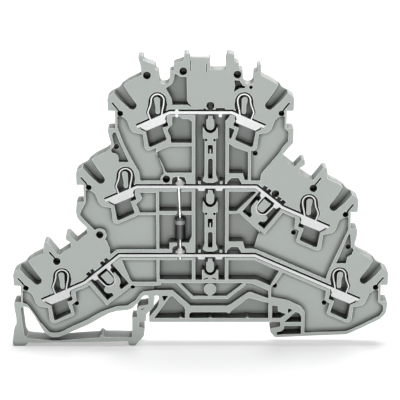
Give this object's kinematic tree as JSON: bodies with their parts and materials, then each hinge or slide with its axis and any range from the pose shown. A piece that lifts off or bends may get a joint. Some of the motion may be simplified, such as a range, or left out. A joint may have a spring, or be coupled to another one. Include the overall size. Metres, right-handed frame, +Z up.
{
  "type": "rail terminal block",
  "caption": "Three-level rail terminal block with spring clamps, springy snap foot, jumper channels and a diode between the lower levels.",
  "frame": {"origin": "middle of the rail seat, where the rail's top face lies, halfway through the block's thickness", "axes": "+X along the block's length towards the fixed hook, +Y from the open side to the closed back wall, +Z up from the rail"},
  "size_m": [0.0933, 0.0052, 0.074],
  "materials": {
    "grey_plastic": "satin moulded",
    "tinned_bar": "bright tin plating",
    "spring_steel": "polished strip",
    "black_moulding": "glossy with a grey printed band",
    "lead_wire": "tinned wire",
    "solder_metal": "bright solder",
    "tag_plastic": "matt white"
  },
  "bodies": {
    "root": {"housing": "grey_plastic", "upper_bar": "tinned_bar", "middle_bar": "tinned_bar", "lower_bar": "tinned_bar", "spring_upper_left": "spring_steel", "spring_upper_right": "spring_steel", "spring_middle_left": "spring_steel", "spring_middle_right": "spring_steel", "spring_lower_left": "spring_steel", "spring_lower_right": "spring_steel", "jumper_contact_middle": "tinned_bar", "jumper_contact_lower": "tinned_bar", "diode_body": "black_moulding", "diode_lead_upper": "lead_wire", "diode_lead_lower": "lead_wire", "solder_upper": "solder_metal", "solder_lower": "solder_metal", "marker_tag": "tag_plastic"}
  },
  "joints": []
}
